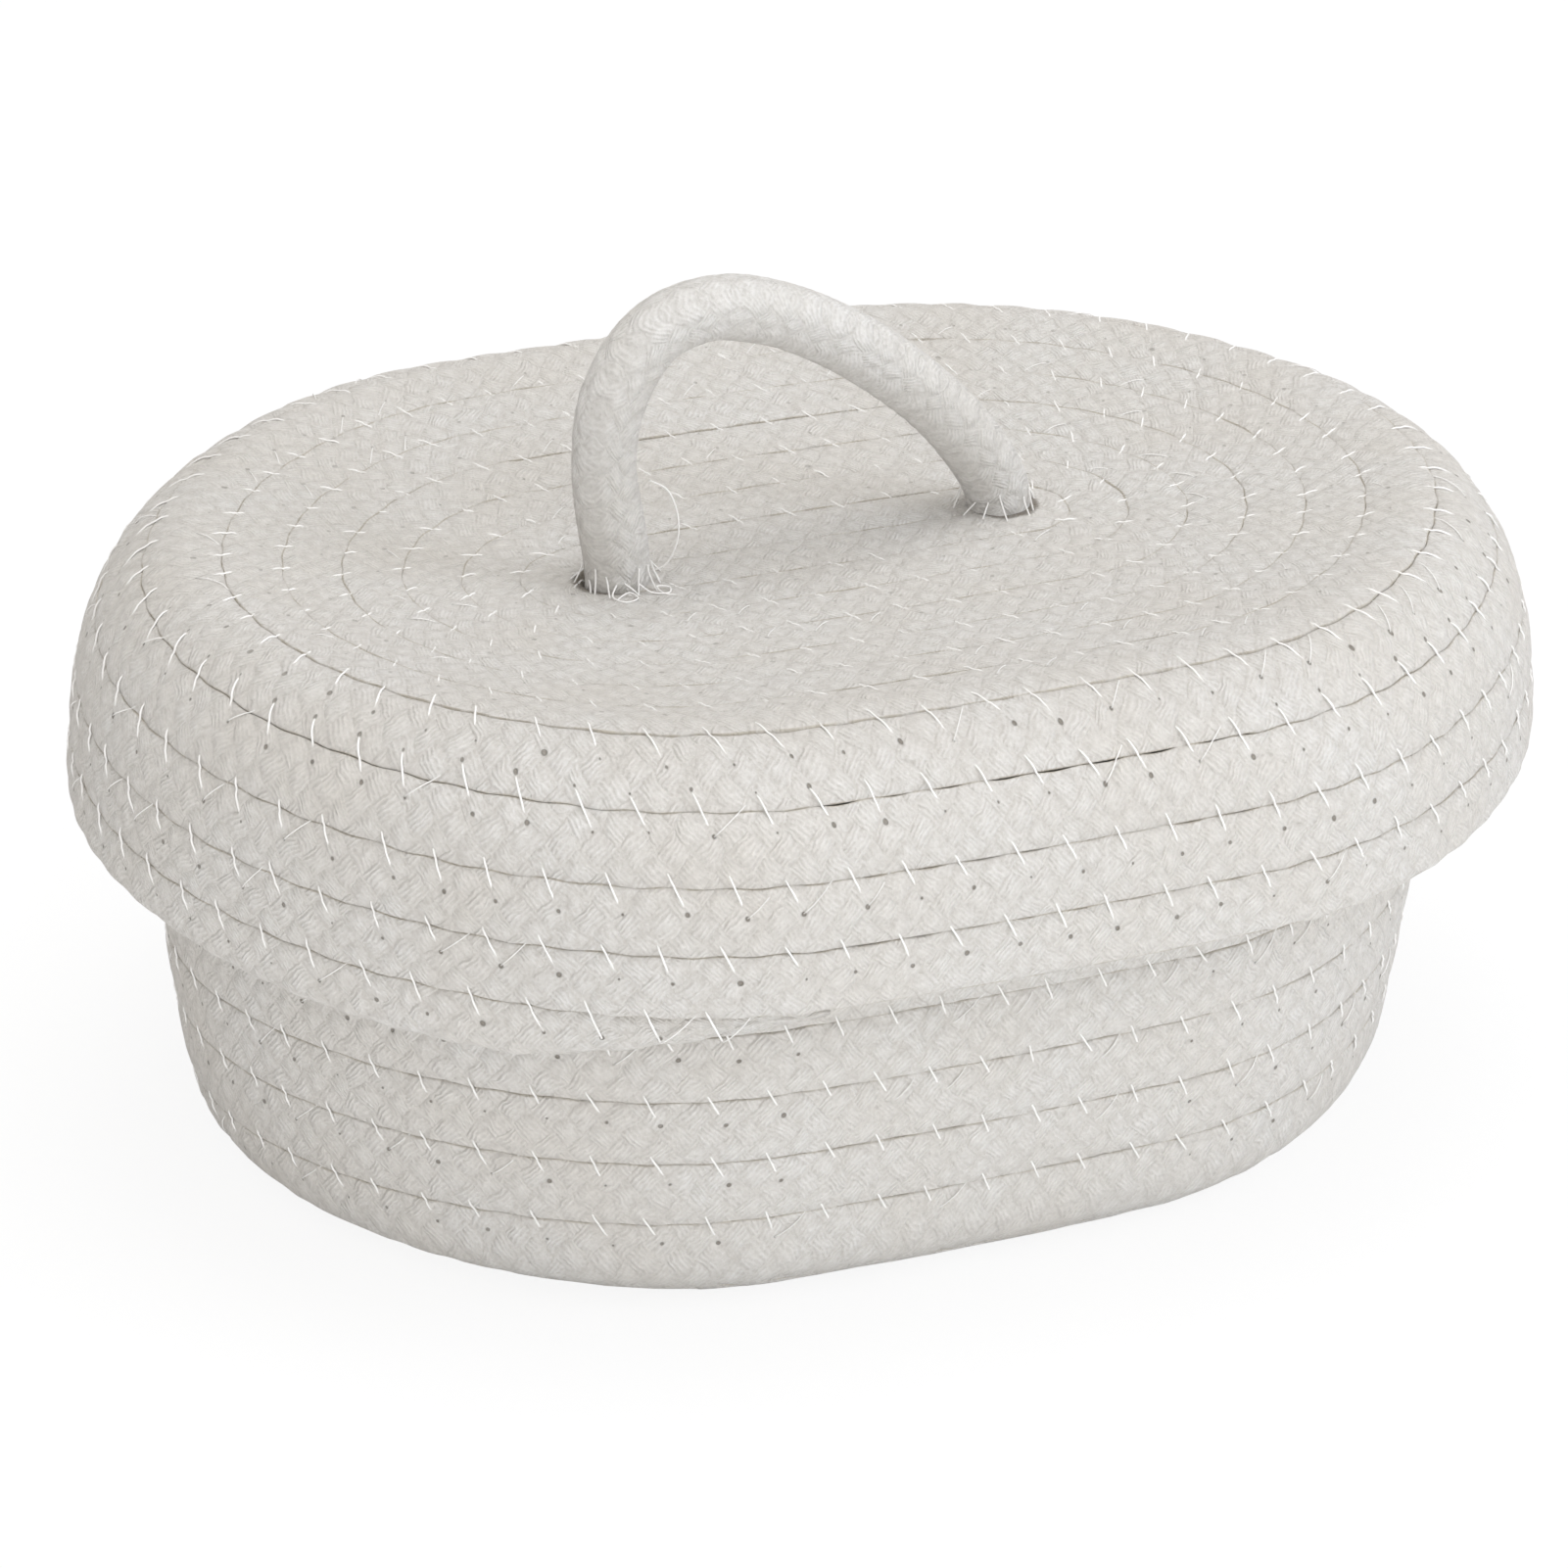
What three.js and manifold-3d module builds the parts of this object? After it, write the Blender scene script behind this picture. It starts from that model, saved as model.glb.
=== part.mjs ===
// An oval storage basket coiled from cotton rope, with a coiled lid and a rope handle.
// Lengths are in millimetres and +Z is up. The origin is under the middle, on the ground.
//
// The basket and the lid are each one unbroken rope. It starts on a straight line, the spine,
// and winds round it lap after lap, first flat and then as a wall. Each lap climbs by one row
// while it turns round the left end, and keeps level along the front, the right end and the back.

import * as THREE from "three";
import { mergeVertices } from "three/addons/utils/BufferGeometryUtils.js";
import Module from "manifold-3d";

const wasm = await Module();
wasm.setup();

// Rope as it is sewn: a row is flat where it meets its neighbours and crowned on both faces.
const ROPE_THICKNESS = 13;
const ROPE_FLAT = 8.2;
const ROW_GAP = 0.75;

// Basket: width of a row in the floor and in the wall, and how many there are.
const FLOOR_ROW = 12.2;
const WALL_ROW = 14.7;
const FLOOR_LAPS = 7;
const WALL_LAPS = 7;
const BASKET_SPINE = 82;
const BASKET_BULGE = 0.14;
const FLOOR_FLAT_RUN = 75;
const FLOOR_CORNER = 15;
const FLOOR_CORNER_TURN = 80;
const WALL_LEAN_RUN = 45;
const WALL_LEAN_TURN = 7;
const WALL_DRAW_IN_TURN = 12;

// Lid: the same for its top and its skirt, which ends in one more part row at the left.
const TOP_ROW = 12.7;
const SKIRT_ROW = 12.4;
const TOP_LAPS = 7;
const SKIRT_LAPS = 4;
const LID_SPINE = 92;
const LID_BULGE = 0.13;
const TOP_DISH_RUN = 84;
const TOP_DISH_TURN = 11;
const SHOULDER_BENDS = [[13, 57], [12, 23], [14, 14]];
const SKIRT_DRAW_IN_TURN = 2;
const SKIRT_TUCK = 13;
const SKIRT_TUCK_TURN = 5;

// Ends of the ropes: the basket's runs out in its last turn. The lid's hangs one row lower at the
// front left, where it ends in a short taper to a share of a row.
const RIM_TAPER_END = 0.8;
const LID_TIP_SHARE = 0.25;

// Starts of the ropes: the lid's leaves room for a foot of the handle, and the basket's is a tip
// that fills the eye of its first turn.
const LID_START_INSET = 8.2;
const BASKET_START_INSET = 1;
const BASKET_TIP = 4.5;
const BASKET_TIP_SHARE = 0.45;

// Seam thread: it lies in the groove on the outer face.
const THREAD_DIAMETER = 0.8;
const THREAD_HEIGHT = 4.6;

// Handle: points of the arch between its feet, along the lid and up from the middle of its top.
const HANDLE_DIAMETER = 14;
const HANDLE_CLEARANCE = 0.35;
const HANDLE_TAIL = 10;
const FOOT_STRAIGHT = 12;
const HANDLE_ARCH = [[-49, 33.5], [-45.5, 48], [-36, 59.5], [-22.5, 63], [-8, 58], [8, 46.5], [24.5, 33.5],
  [37.5, 22.5]];

// Stitches round each foot of the handle, just over the lid.
const STITCH_DIAMETER = 1;
const STITCH_GAP = 0.35;
const STITCH_RISE = 2.6;
const STITCH_TEETH = 10;

// The lid rests on the rim with this much room, and sits a little to the right.
const SEAT_GAP = 0.45;
const LID_ASIDE = 3;

const END_STEPS = 10;
const LAP_STEPS = 2 * END_STEPS + 4;
const HANDLE_STEPS = 30;
const HANDLE_SIDES = 10;
const HOLE_SIDES = 16;
const STITCH_STEPS = 4;

const floorFlat = ROPE_THICKNESS / 10;
const basketLaps = FLOOR_LAPS + WALL_LAPS;
const lidLaps = TOP_LAPS + SKIRT_LAPS;

function radians(degrees) {
  return degrees * Math.PI / 180;
}

// A profile is the middle line of the rows from the spine outwards, as a chain of arcs in the
// plane of distance and height. Each arc has a length and turns by an angle.
function makeProfile(height, arcs) {
  const starts = [];
  let here = { u: 0, r: 0, z: height, heading: 0 };
  for (const [length, turn] of arcs) {
    starts.push({ ...here, length, turn: radians(turn) });
    const next = alongArc(starts[starts.length - 1], length);
    here = { u: here.u + length, ...next };
  }
  return (u) => {
    const inside = starts.filter((arc) => arc.u <= u);
    const arc = inside[inside.length - 1] ?? starts[0];
    return alongArc(arc, u - arc.u);
  };
}

function alongArc(arc, distance) {
  const swing = arc.turn * distance / arc.length;
  const half = swing / 2;
  const chord = Math.abs(half) > 1e-9 ? distance * Math.sin(half) / half : distance;
  const r = arc.r + chord * Math.cos(arc.heading + half);
  const z = arc.z + chord * Math.sin(arc.heading + half);
  return { r, z, heading: arc.heading + swing };
}

// A coil turns a count of rows and a height over the rows' middle line into a place in space.
// side is -1 where the outer face is to the right of the profile, and 1 where it is to the left.
function makeCoil(profile, side, spine, ovalBulge, flatRow, uprightRow, flatLaps) {
  const reach = (rows) => rows < flatLaps
    ? rows * flatRow
    : flatLaps * flatRow + (rows - flatLaps) * uprightRow;
  const place = (station, u, over) => {
    const at = profile(u);
    const r = at.r - side * over * Math.sin(at.heading);
    const z = at.z + side * over * Math.cos(at.heading);
    const x = station.spine * spine / 2 + station.inset + r * Math.cos(station.angle);
    const share = x / (spine / 2 + r);
    const bulge = 1 + ovalBulge * (1 - share * share);
    return new THREE.Vector3(x, r * Math.sin(station.angle) * bulge, z);
  };
  return { reach, place };
}

// Stations of one lap: the middle of the front, the right end, the middle of the back, the left end.
function lapStation(step) {
  const half = LAP_STEPS / 2;
  const back = step > half;
  const part = (back ? step - half : step) - 1;
  const turned = Math.max(part - 1, 0) / END_STEPS;
  const angle = (back ? Math.PI / 2 : -Math.PI / 2) + turned * Math.PI;
  const end = back ? -1 : 1;
  if (step === 0) return { spine: -1, inset: 0, angle: -Math.PI / 2, climb: 0 };
  if (part === 0) return { spine: 0, inset: 0, angle, climb: 0 };
  return { spine: end, inset: 0, angle, climb: back ? turned : 0 };
}

// The rows that the rope covers at each station of its laps, which reach no further than limit.
function ropeStations(laps, startInset, limit) {
  const stations = [];
  for (let lap = 0; lap < laps; lap += 1) {
    for (let step = 0; step < LAP_STEPS; step += 1) {
      const station = lapStation(step);
      const low = lap + station.climb;
      stations.push({ ...station, low, high: Math.min(low + 1, limit) });
    }
  }
  stations[0].inset = startInset;
  return stations;
}

function basketStations() {
  const stations = ropeStations(basketLaps, BASKET_START_INSET, basketLaps);
  const side = (1 - BASKET_TIP_SHARE) / 2;
  const tip = { ...stations[0], inset: -BASKET_TIP, low: side, high: 1 - side };
  return [tip, ...stations].filter((s) => s.high - s.low > 1 - RIM_TAPER_END - 1e-6);
}

function lidStations() {
  const stations = ropeStations(lidLaps, LID_START_INSET, lidLaps + 1);
  return [...stations, { ...lapStation(0), low: lidLaps, high: lidLaps + LID_TIP_SHARE }];
}

function ropeRing(coil, station) {
  const low = coil.reach(station.low) + ROW_GAP / 2;
  const high = coil.reach(station.high) - ROW_GAP / 2;
  const share = Math.min(station.high - station.low, 1);
  const fullness = 0.4 + 0.6 * share;
  const flat = fullness * ROPE_FLAT / 2;
  const crown = fullness * ROPE_THICKNESS / 2;
  const middle = (low + high) / 2;
  const outline = [[low, flat], [middle, crown], [high, flat], [high, -flat], [middle, -crown],
    [low, -flat]];
  return outline.map(([u, over]) => coil.place(station, u, over));
}

function threadRing(coil, station) {
  const radius = THREAD_DIAMETER / 2;
  const u = coil.reach(station.low);
  return [90, 210, 330].map((degrees) => {
    const a = radians(degrees);
    return coil.place(station, u + radius * Math.cos(a), THREAD_HEIGHT + radius * Math.sin(a));
  });
}

// A closed tube through rings of points, with a flat cap at each end.
function tubeThrough(rings) {
  const sides = rings[0].length;
  const positions = rings.flat().flatMap((p) => [p.x, p.y, p.z]);
  const faces = [];
  for (let i = 0; i + 1 < rings.length; i += 1) {
    for (let j = 0; j < sides; j += 1) {
      const a = i * sides + j;
      const b = i * sides + (j + 1) % sides;
      faces.push(a, b, b + sides, a, b + sides, a + sides);
    }
  }
  const last = (rings.length - 1) * sides;
  for (let j = 1; j + 1 < sides; j += 1) {
    faces.push(0, j + 1, j, last, last + j, last + j + 1);
  }
  const geometry = new THREE.BufferGeometry();
  geometry.setAttribute("position", new THREE.Float32BufferAttribute(positions, 3));
  geometry.setIndex(faces);
  return facingOut(geometry);
}

function signedVolume(geometry) {
  const at = geometry.attributes.position;
  const index = geometry.index.array;
  const [a, b, c] = [new THREE.Vector3(), new THREE.Vector3(), new THREE.Vector3()];
  let volume = 0;
  for (let i = 0; i < index.length; i += 3) {
    a.fromBufferAttribute(at, index[i]);
    b.fromBufferAttribute(at, index[i + 1]);
    c.fromBufferAttribute(at, index[i + 2]);
    volume += a.dot(b.cross(c)) / 6;
  }
  return volume;
}

function facingOut(geometry) {
  if (signedVolume(geometry) < 0) {
    const index = geometry.index.array;
    for (let i = 0; i < index.length; i += 3) {
      [index[i + 1], index[i + 2]] = [index[i + 2], index[i + 1]];
    }
  }
  return geometry;
}

// The least distance from a wound tube to its own other laps, on the points of its rings.
function printLeastGap(name, rings) {
  const apart = LAP_STEPS / 2;
  let least = Infinity;
  for (let i = 0; i < rings.length; i += 1) {
    for (let j = i + apart; j < Math.min(i + 2 * LAP_STEPS, rings.length); j += 1) {
      for (const a of rings[i]) {
        for (const b of rings[j]) least = Math.min(least, a.distanceTo(b));
      }
    }
  }
  console.log(`${name}: least gap to itself ${least.toFixed(2)} mm`);
}

// Cuts and joins need a solid with shared vertices.
function solidOf(geometry) {
  const bare = geometry.clone();
  bare.deleteAttribute("normal");
  bare.deleteAttribute("uv");
  const merged = mergeVertices(bare, 1e-4);
  return new wasm.Manifold(new wasm.Mesh({
    numProp: 3,
    vertProperties: new Float32Array(merged.attributes.position.array),
    triVerts: new Uint32Array(merged.index.array),
  }));
}

function geometryOf(solid) {
  const mesh = solid.getMesh();
  const geometry = new THREE.BufferGeometry();
  geometry.setAttribute("position", new THREE.BufferAttribute(mesh.vertProperties, 3));
  geometry.setIndex(new THREE.BufferAttribute(mesh.triVerts, 1));
  return geometry;
}

function cutFrom(geometry, cutters) {
  let solid = solidOf(geometry);
  for (const cutter of cutters) solid = solid.subtract(solidOf(cutter));
  return geometryOf(solid);
}

function rope(colour) {
  return new THREE.MeshStandardMaterial({ color: colour, roughness: 0.95, metalness: 0 });
}

function thread() {
  return new THREE.MeshStandardMaterial({ color: 0xf4f2ec, roughness: 0.6, metalness: 0 });
}

function named(name, geometry, material) {
  const mesh = new THREE.Mesh(geometry, material);
  mesh.name = name;
  return mesh;
}

// Basket

function basketProfile() {
  const rows = FLOOR_LAPS * FLOOR_ROW + WALL_LAPS * WALL_ROW;
  const wallRun = rows - FLOOR_FLAT_RUN - FLOOR_CORNER - WALL_LEAN_RUN;
  return makeProfile(ROPE_THICKNESS / 2 - floorFlat, [
    [FLOOR_FLAT_RUN, 0],
    [FLOOR_CORNER, FLOOR_CORNER_TURN],
    [WALL_LEAN_RUN, WALL_LEAN_TURN],
    [wallRun, WALL_DRAW_IN_TURN],
  ]);
}

const basket = makeCoil(basketProfile(), -1, BASKET_SPINE, BASKET_BULGE, FLOOR_ROW, WALL_ROW, FLOOR_LAPS);

// The floor rows are pressed flat where the basket stands.
function basketCoil() {
  const rings = basketStations().map((station) => ropeRing(basket, station));
  printLeastGap("basket_coil", rings);
  const size = 4 * BASKET_SPINE + 8 * FLOOR_LAPS * FLOOR_ROW;
  const ground = new THREE.BoxGeometry(size, size, ROPE_THICKNESS).translate(0, 0, -ROPE_THICKNESS / 2);
  return named("basket_coil", cutFrom(tubeThrough(rings), [ground]), rope(0xe9e5dc));
}

function basketThread() {
  const rings = basketStations()
    .filter((station) => station.low >= 1 && station.low < basketLaps - 0.5)
    .map((station) => threadRing(basket, station));
  printLeastGap("basket_thread", rings);
  return named("basket_thread", tubeThrough(rings), thread());
}

// Lid, drawn with the middle line of its top at height 0

function lidProfile() {
  const shoulderRun = SHOULDER_BENDS.reduce((sum, [length]) => sum + length, 0);
  const topRun = TOP_LAPS * TOP_ROW;
  const skirtRun = topRun + SKIRT_LAPS * SKIRT_ROW - TOP_DISH_RUN - shoulderRun - SKIRT_TUCK / 2;
  return makeProfile(0, [
    [TOP_DISH_RUN, TOP_DISH_TURN],
    ...SHOULDER_BENDS.map(([length, turn]) => [length, -turn]),
    [skirtRun, -SKIRT_DRAW_IN_TURN],
    [SKIRT_TUCK, -SKIRT_TUCK_TURN],
  ]);
}

const lid = makeCoil(lidProfile(), 1, LID_SPINE, LID_BULGE, TOP_ROW, SKIRT_ROW, TOP_LAPS);

// The left foot goes down where the rope starts, and the right one inside its first turn.
const leftFoot = new THREE.Vector2(-LID_SPINE / 2, -TOP_ROW / 2);
const rightFoot = new THREE.Vector2(LID_SPINE / 2, 0);

function footHole(foot) {
  const across = (HANDLE_DIAMETER / 2 + HANDLE_CLEARANCE) / Math.cos(Math.PI / HOLE_SIDES);
  const hole = new THREE.CylinderGeometry(across, across, 3 * ROPE_THICKNESS, HOLE_SIDES);
  return hole.rotateX(Math.PI / 2).translate(foot.x, foot.y, 0);
}

function lidCoil() {
  const rings = lidStations().map((station) => ropeRing(lid, station));
  printLeastGap("lid_coil", rings);
  const holes = [footHole(leftFoot), footHole(rightFoot)];
  return named("lid_coil", cutFrom(tubeThrough(rings), holes), rope(0xebe7de));
}

// The thread starts past the left foot.
function lidThread() {
  const rings = lidStations()
    .filter((station) => station.low >= 1)
    .slice(1)
    .map((station) => threadRing(lid, station));
  printLeastGap("lid_thread", rings);
  return named("lid_thread", tubeThrough(rings), thread());
}

// The arch runs from foot to foot. Its ends go straight down through the lid.
function handle() {
  const low = -ROPE_THICKNESS / 2 - HANDLE_TAIL;
  const upright = (foot, z) => new THREE.Vector3(foot.x, foot.y, z);
  const across = rightFoot.x - leftFoot.x;
  const arch = HANDLE_ARCH.map(([x, z]) => {
    const share = (x - leftFoot.x) / across;
    return new THREE.Vector3(x, THREE.MathUtils.lerp(leftFoot.y, rightFoot.y, share), z);
  });
  const path = new THREE.CatmullRomCurve3([
    upright(leftFoot, low), upright(leftFoot, 0), upright(leftFoot, FOOT_STRAIGHT),
    ...arch,
    upright(rightFoot, FOOT_STRAIGHT), upright(rightFoot, 0), upright(rightFoot, low),
  ], false, "centripetal");
  const section = new THREE.Shape();
  for (let i = 0; i < HANDLE_SIDES; i += 1) {
    const a = 2 * Math.PI * i / HANDLE_SIDES;
    section.lineTo(HANDLE_DIAMETER / 2 * Math.cos(a), HANDLE_DIAMETER / 2 * Math.sin(a));
  }
  const geometry = new THREE.ExtrudeGeometry(section, { steps: HANDLE_STEPS, extrudePath: path });
  return named("lid_handle", geometry, rope(0xefece4));
}

// One zigzag of thread round a foot, open by one tooth where it starts and ends.
function footStitch(name, foot) {
  const radius = HANDLE_DIAMETER / 2 + STITCH_GAP + STITCH_DIAMETER / 2;
  const low = ROPE_THICKNESS / 2 + STITCH_GAP + STITCH_DIAMETER / 2;
  const steps = STITCH_TEETH * STITCH_STEPS;
  const rings = [];
  for (let i = 0; i <= steps; i += 1) {
    const a = 2 * Math.PI * i / (steps + STITCH_STEPS);
    const wave = Math.abs((i / STITCH_STEPS) % 1 - 0.5) * 2;
    const ring = [90, 210, 330].map((degrees) => {
      const b = radians(degrees);
      const out = radius + STITCH_DIAMETER / 2 * Math.cos(b);
      const z = low + STITCH_RISE * wave + STITCH_DIAMETER / 2 * Math.sin(b);
      return new THREE.Vector3(foot.x + out * Math.cos(a), foot.y + out * Math.sin(a), z);
    });
    rings.push(ring);
  }
  return named(name, tubeThrough(rings), thread());
}

// How far the upper mesh can drop before it meets the lower one.
function dropRoom(upper, lower) {
  const ray = new THREE.Raycaster();
  let room = Infinity;
  const probe = (from, target, direction) => {
    const at = from.geometry.attributes.position;
    const low = new THREE.Box3().setFromObject(target).min;
    const high = new THREE.Box3().setFromObject(target).max;
    for (let i = 0; i < at.count; i += 1) {
      const point = new THREE.Vector3().fromBufferAttribute(at, i).applyMatrix4(from.matrixWorld);
      if (point.x < low.x || point.x > high.x || point.y < low.y || point.y > high.y) continue;
      ray.set(point, direction);
      const hit = ray.intersectObject(target)[0];
      if (hit) room = Math.min(room, hit.distance);
    }
  };
  upper.material.side = THREE.DoubleSide;
  lower.material.side = THREE.DoubleSide;
  probe(upper, lower, new THREE.Vector3(0, 0, -1));
  probe(lower, upper, new THREE.Vector3(0, 0, 1));
  return room;
}

const coiledBasket = basketCoil();
const coiledLid = lidCoil();
const lidParts = new THREE.Group();
lidParts.add(coiledLid, lidThread(), handle());
lidParts.add(footStitch("handle_stitch_left", leftFoot));
lidParts.add(footStitch("handle_stitch_right", rightFoot));

// The lid comes down from well above until its top is a seat gap over the rim.
const raised = 2 * (WALL_LAPS + SKIRT_LAPS) * WALL_ROW;
lidParts.position.set(LID_ASIDE, 0, raised);
lidParts.updateMatrixWorld(true);
lidParts.position.z = raised - dropRoom(coiledLid, coiledBasket) + SEAT_GAP;

const model = new THREE.Group();
model.add(coiledBasket, basketThread(), lidParts);
model.updateMatrixWorld(true);
const middle = new THREE.Box3().setFromObject(model).getCenter(new THREE.Vector3());
model.position.set(-middle.x, -middle.y, 0);

export default model;
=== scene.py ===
"""An oval storage basket coiled from cotton rope, with a coiled lid and an arched rope handle.

Lengths are in metres and +Z is up. The basket and the lid are each one rope that winds round a
straight line, the spine, lap after lap. Each lap climbs by one row while it turns round the left
end. A place on a coil is given by the station along the rope, by u, the distance from the spine
along the rows' middle surface, and by the height over that surface.
"""
import math

import bpy
import numpy as np
from mathutils import Matrix, Vector

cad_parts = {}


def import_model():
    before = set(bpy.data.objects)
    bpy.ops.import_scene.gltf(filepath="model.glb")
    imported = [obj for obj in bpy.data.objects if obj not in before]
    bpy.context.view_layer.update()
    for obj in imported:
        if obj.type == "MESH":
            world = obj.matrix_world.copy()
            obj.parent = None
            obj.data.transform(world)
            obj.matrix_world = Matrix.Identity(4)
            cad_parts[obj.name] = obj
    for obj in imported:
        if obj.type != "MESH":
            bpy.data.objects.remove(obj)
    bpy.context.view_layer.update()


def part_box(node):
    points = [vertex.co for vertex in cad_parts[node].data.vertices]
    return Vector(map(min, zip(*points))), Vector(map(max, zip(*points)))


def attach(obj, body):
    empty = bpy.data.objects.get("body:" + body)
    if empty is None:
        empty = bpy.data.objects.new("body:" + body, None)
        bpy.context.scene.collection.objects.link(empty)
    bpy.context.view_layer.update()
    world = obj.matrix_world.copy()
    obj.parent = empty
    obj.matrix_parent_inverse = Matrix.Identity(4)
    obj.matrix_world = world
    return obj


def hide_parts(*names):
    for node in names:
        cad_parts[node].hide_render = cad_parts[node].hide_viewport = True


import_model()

MM = 0.001
SEED = 7

# Rope rows. The gap between two rows is wider along one part of one of the lid's seams.
THICKNESS = 13 * MM
ROW_GAP, WIDE_GAP = 0.02 * MM, 0.12 * MM
WIDE_GAP_LEVEL, WIDE_GAP_SPREAD = 7.8, 0.13
FLOOR_ROW, WALL_ROW = 12.2 * MM, 14.7 * MM
FLOOR_LAPS, WALL_LAPS = 7, 7
CORNER_SEAM = 3.0 * MM
BASKET_SPINE, BASKET_BULGE = 82 * MM, 0.14
TOP_ROW, SKIRT_ROW = 12.7 * MM, 12.4 * MM
TOP_LAPS, SKIRT_LAPS = 7, 4
LID_SPINE, LID_BULGE = 92 * MM, 0.13
# Profiles from the spine outwards, as arcs of a length in mm and a turn in degrees
BASKET_ARCS = [(75, 0), (15, 80), (45, 7), (53.3, 12)]
LID_ARCS = [(84, 11), (13, -57), (12, -23), (14, -14), (9, -2), (13, -5)]
BASKET_HEIGHT = 5.2 * MM

BASKET_SHIFT, LID_SHIFT = -2.79 * MM, 0.21 * MM

# Starts of the ropes: how far their first rings are moved along the spine
BASKET_START, BASKET_START_RINGS, BASKET_START_SHARE = (-4.5 * MM, 1 * MM), 6, 0.45
LID_START, LID_START_RINGS = 2.0 * MM, 3

# Ends of the ropes: where in its last lap the lid's starts to taper, to a share of a row, and where
# in its last lap the basket's ends
LID_TAPER_START, LID_TIP_SHARE = 0.9, 0.25
RIM_TAPER_END = 0.8

# Steps between stations, longer on the laps at the middle of the basket's floor
STEP, COARSE = 1.95 * MM, 1.5

# Rope face: across the row from -1 to 1, and height over the middle surface in mm
FACE_TOP = 6.5
FACE = [(-1.0, 5.58), (-0.976, 5.82), (-0.93, 5.98), (-0.82, 6.17), (-0.5, 6.41), (-0.17, 6.5),
        (0.17, 6.5), (0.5, 6.41), (0.82, 6.17), (0.93, 5.98), (0.976, 5.82), (1.0, 5.58)]
INNER_FACE = [(-1.0, 4.6), (-0.97, 5.4), (-0.85, 6.0), (-0.45, 6.4),
              (0.45, 6.4), (0.85, 6.0), (0.97, 5.4), (1.0, 4.6)]

# On the lid's top the faces are flatter, but not in a groove deeper than this. The free edge of a
# last lap is round from here across the row.
FLATTER, DEEP_DROP = 0.55, 1.7 * MM
RIM_ROUND = 0.4

# Unevenness: waves of the seams in step with the stitches, and slow noise of a size and a length
SEAM_WAVE = 0.16 * MM
SEAM_DRIFT, SEAM_DRIFT_LENGTH = 0.22 * MM, 13 * MM
SWELL, SWELL_LENGTH = 0.2 * MM, 19 * MM
LUMPS, LUMP_LENGTH = 0.12 * MM, 6.5 * MM

# Stitches over the seams: a strand leans down towards a needle hole, and some finer ones come back up
STITCH_PITCH = 11.2 * MM
STITCH_STRAY, LEAN_STRAY, REACH_STRAY = 0.45 * MM, 0.5 * MM, 0.35 * MM
STITCH_UP, STITCH_DOWN = 2.4 * MM, 5.0 * MM
WIDE_UP, WIDE_DOWN = 3.4 * MM, 3.6 * MM
STITCH_LEAN = 3.4 * MM
PUCKER, PUCKER_WIDTH = 0.55 * MM, 2.6 * MM
PINCH, PINCH_WIDTH, PINCH_PLACE = 0.5, 2.2 * MM, 0.6
LID_WIDE_SEAM = 8
LID_UNSEWN = 24 * MM
RETURN_SHARE = 0.22
INSIDE_REACH, INSIDE_LEAN, INSIDE_STRAY = 4.4 * MM, 3 * MM, 0.4 * MM

# Strands of the stitches: radius, and how deep the ends sink in, in mm
OUTSIDE_STRAND, OUTSIDE_RETURN = (0.25, 0.7), (0.13, 0.5)
INSIDE_STRAND, INSIDE_RETURN = (0.24, 0.8), (0.16, 0.5)

# Handle
HANDLE_RADIUS = 7 * MM
HANDLE_ARCH = [(-49, 33.5), (-46.5, 48), (-38, 59.5), (-25.5, 63),
               (-10, 59.5), (8, 50), (24.5, 37.5), (37, 25)]
ARCH_LEAN = 2.6 * MM
FOOT_STRAIGHT, HANDLE_TAIL = 10 * MM, 10 * MM
BRAID_STRANDS, BRAID_PITCH, BRAID_RELIEF = 8, 34 * MM, 0.20 * MM
FOOT_THREAD = 0.2 * MM

# Weave of the rope: bundles of yarns that cross at a slant, waved by a slow bend
BUNDLE, YARN, SLANT, BEND = 6.8 * MM, 1.25 * MM, 6.0 * MM, 4 * MM


def smooth_noise(x, seed, octaves=2):
    """Smooth values from -1 to 1 along x, which is in periods of the slowest wave."""
    count, far = 4096, 1000
    total = np.zeros_like(x, dtype=float)
    gain = 1.0
    for octave in range(octaves):
        draw = np.random.default_rng(seed + octave)
        knots = draw.uniform(-1, 1, count)
        at = x * 2 ** octave + far
        i = np.floor(at).astype(int)
        f = at - i
        f = f * f * (3 - 2 * f)
        total += gain * (knots[i % count] * (1 - f) + knots[(i + 1) % count] * f)
        gain *= 0.5
    return total / 1.5


def profile(arcs, height, u):
    """Distance from the spine, height and heading at u, on a chain of arcs of length and turn."""
    u = np.asarray(u, float)
    r, z, heading = (np.zeros_like(u) for _ in range(3))
    at_r, at_z, at_heading, at_u = 0.0, height, 0.0, 0.0
    for i, (length, turn) in enumerate(arcs):
        length, turn = length * MM, math.radians(turn)
        inside = np.ones(u.shape, bool) if i == 0 else u >= at_u
        d = u - at_u
        half = turn * d / length / 2
        chord = d * np.sinc(half / np.pi)
        r = np.where(inside, at_r + chord * np.cos(at_heading + half), r)
        z = np.where(inside, at_z + chord * np.sin(at_heading + half), z)
        heading = np.where(inside, at_heading + 2 * half, heading)
        chord = length * np.sinc(turn / 2 / np.pi)
        at_r += chord * math.cos(at_heading + turn / 2)
        at_z += chord * math.sin(at_heading + turn / 2)
        at_heading += turn
        at_u += length
    return r, z, heading


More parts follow.
